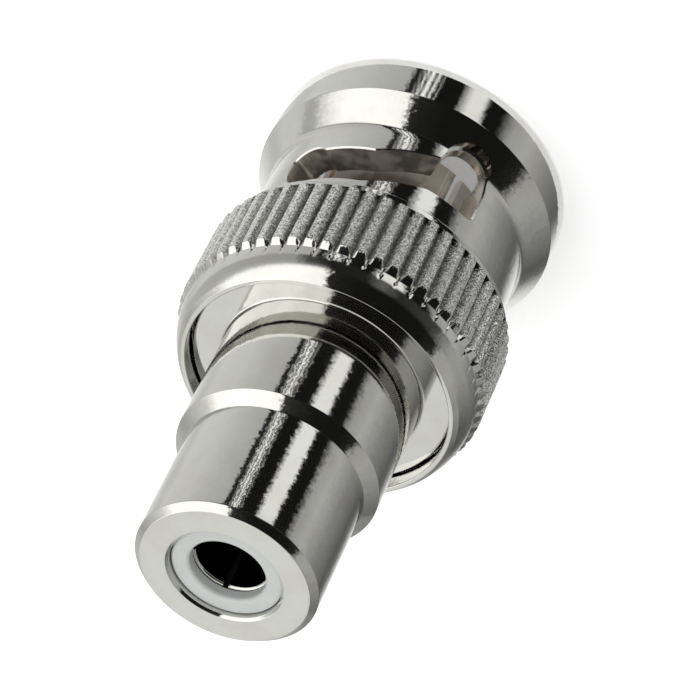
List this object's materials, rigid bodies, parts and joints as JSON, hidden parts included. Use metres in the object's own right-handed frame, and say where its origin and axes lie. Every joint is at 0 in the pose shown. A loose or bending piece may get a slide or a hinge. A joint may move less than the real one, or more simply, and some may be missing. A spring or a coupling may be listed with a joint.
{
  "type": "bnc to rca adapter",
  "caption": "Nickel-plated metal adapter with a knurled bayonet coaxial plug at one end and a stepped phono socket at the other.",
  "frame": {"origin": "centre of the coupling nut's front face, which the adapter stands on", "axes": "+Z along the axis, from the bayonet plug up to the phono socket; -Y faces the camera of the picture"},
  "size_m": [0.0146, 0.0146, 0.0268],
  "materials": {
    "nickel": "bright nickel plating on turned brass",
    "white_plastic": "smooth white insulator",
    "gold": "thin gold plating on the centre pin",
    "spring_steel": "bright spring strip",
    "silicone": "soft sealing ring"
  },
  "bodies": {
    "core": {"socket_shell": "nickel", "socket_insulator": "white_plastic", "center_socket": "nickel", "plug_body": "nickel", "plug_insulator": "white_plastic", "plug_center_pin": "gold", "sealing_gasket": "silicone", "wave_spring": "spring_steel"},
    "washer": {"thrust_washer": "nickel"},
    "nut": {"coupling_nut": "nickel"}
  },
  "joints": [
    {"name": "nut_pull", "type": "slide", "parent": "core", "child": "washer", "axis": [0, 0, -1], "range_m": [0, 0.0007], "stiffness_N_per_m": 500, "springref_m": -0.0005, "deforming": ["wave_spring"]},
    {"name": "nut_turn", "type": "hinge", "parent": "washer", "child": "nut", "pos_m": [0, 0, 0.0075], "axis": [0, 0, 1], "continuous": true}
  ]
}
